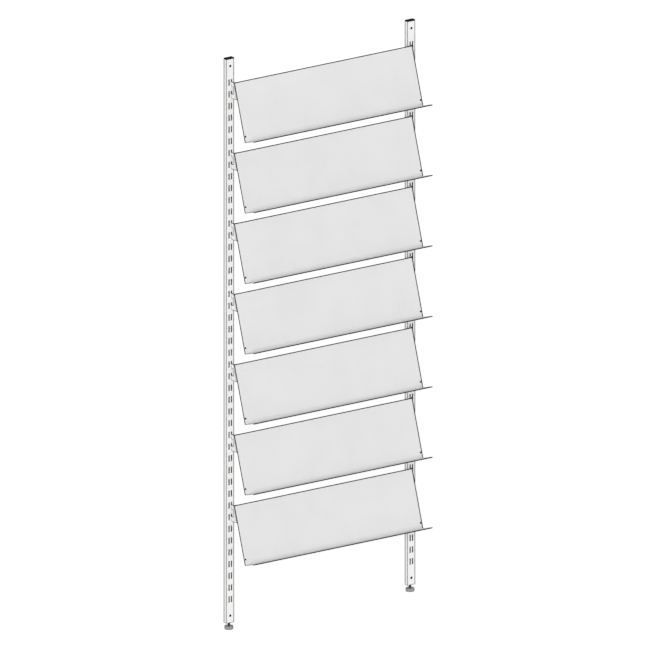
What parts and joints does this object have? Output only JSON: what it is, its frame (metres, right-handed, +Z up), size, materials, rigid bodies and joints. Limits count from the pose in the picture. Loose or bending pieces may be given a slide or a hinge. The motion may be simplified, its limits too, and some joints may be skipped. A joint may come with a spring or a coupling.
{
  "type": "periodical display rack",
  "caption": "Tall wall-fixed rack: two slotted uprights on levelling feet carry sloping hook-on shelves with lips for periodicals.",
  "frame": {"origin": "on the floor, midway between the two uprights and midway between the front edge of the lips and the back of the foot discs", "axes": "+Z up, +X towards the right upright seen from the front, +Y towards the wall, front towards -Y"},
  "size_m": [0.94, 0.1878, 2.4325],
  "materials": {
    "upright_paint": "satin white powder coat",
    "shelf_paint": "fine-textured light grey powder coat",
    "bracket_paint": "satin pale grey powder coat",
    "black_plastic": "moulded black",
    "plug_plastic": "moulded dark grey",
    "insert_plastic": "moulded charcoal",
    "foot_plastic": "moulded grey, fine texture",
    "zinc_plate": "black zinc plate"
  },
  "bodies": {
    "rack_frame": {"left_upright": "upright_paint", "left_top_cap": "black_plastic", "left_foot_insert": "insert_plastic", "left_foot_nut": "zinc_plate", "right_upright": "upright_paint", "right_top_cap": "black_plastic", "right_foot_insert": "insert_plastic", "right_foot_nut": "zinc_plate"},
    "shelf_1": {"shelf_1_panel": "shelf_paint", "shelf_1_left_bracket": "bracket_paint", "shelf_1_right_bracket": "bracket_paint", "shelf_1_corner_plugs": "plug_plastic"},
    "shelf_2": {"shelf_2_panel": "shelf_paint", "shelf_2_left_bracket": "bracket_paint", "shelf_2_right_bracket": "bracket_paint", "shelf_2_corner_plugs": "plug_plastic"},
    "shelf_3": {"shelf_3_panel": "shelf_paint", "shelf_3_left_bracket": "bracket_paint", "shelf_3_right_bracket": "bracket_paint", "shelf_3_corner_plugs": "plug_plastic"},
    "shelf_4": {"shelf_4_panel": "shelf_paint", "shelf_4_left_bracket": "bracket_paint", "shelf_4_right_bracket": "bracket_paint", "shelf_4_corner_plugs": "plug_plastic"},
    "shelf_5": {"shelf_5_panel": "shelf_paint", "shelf_5_left_bracket": "bracket_paint", "shelf_5_right_bracket": "bracket_paint", "shelf_5_corner_plugs": "plug_plastic"},
    "shelf_6": {"shelf_6_panel": "shelf_paint", "shelf_6_left_bracket": "bracket_paint", "shelf_6_right_bracket": "bracket_paint", "shelf_6_corner_plugs": "plug_plastic"},
    "shelf_7": {"shelf_7_panel": "shelf_paint", "shelf_7_left_bracket": "bracket_paint", "shelf_7_right_bracket": "bracket_paint", "shelf_7_corner_plugs": "plug_plastic"},
    "left_foot_stud": {"left_foot_stud": "zinc_plate"},
    "left_foot_disc": {"left_foot_disc": "foot_plastic"},
    "right_foot_stud": {"right_foot_stud": "zinc_plate"},
    "right_foot_disc": {"right_foot_disc": "foot_plastic"}
  },
  "joints": [
    {"name": "shelf_1_lift", "type": "slide", "parent": "rack_frame", "child": "shelf_1", "axis": [0, 0, 1], "range_m": [0, 0.01]},
    {"name": "shelf_2_lift", "type": "slide", "parent": "rack_frame", "child": "shelf_2", "axis": [0, 0, 1], "range_m": [0, 0.01]},
    {"name": "shelf_3_lift", "type": "slide", "parent": "rack_frame", "child": "shelf_3", "axis": [0, 0, 1], "range_m": [0, 0.01]},
    {"name": "shelf_4_lift", "type": "slide", "parent": "rack_frame", "child": "shelf_4", "axis": [0, 0, 1], "range_m": [0, 0.01]},
    {"name": "shelf_5_lift", "type": "slide", "parent": "rack_frame", "child": "shelf_5", "axis": [0, 0, 1], "range_m": [0, 0.01]},
    {"name": "shelf_6_lift", "type": "slide", "parent": "rack_frame", "child": "shelf_6", "axis": [0, 0, 1], "range_m": [0, 0.01]},
    {"name": "shelf_7_lift", "type": "slide", "parent": "rack_frame", "child": "shelf_7", "axis": [0, 0, 1], "range_m": [0, 0.01]},
    {"name": "left_foot_travel", "type": "slide", "parent": "rack_frame", "child": "left_foot_stud", "axis": [0, 0, -1], "range_m": [-0.005, 0.01]},
    {"name": "left_foot_turn", "type": "hinge", "parent": "left_foot_stud", "child": "left_foot_disc", "pos_m": [-0.45, 0.07591, 0], "axis": [0, 0, -1], "range_deg": [-1200, 2400]},
    {"name": "right_foot_travel", "type": "slide", "parent": "rack_frame", "child": "right_foot_stud", "axis": [0, 0, -1], "range_m": [-0.005, 0.01]},
    {"name": "right_foot_turn", "type": "hinge", "parent": "right_foot_stud", "child": "right_foot_disc", "pos_m": [0.45, 0.07591, 0], "axis": [0, 0, -1], "range_deg": [-1200, 2400]}
  ],
  "couplings": [
    {"joint": "left_foot_travel", "follows": "left_foot_turn", "m_per_rad": 0.00023873},
    {"joint": "right_foot_travel", "follows": "right_foot_turn", "m_per_rad": 0.00023873}
  ]
}
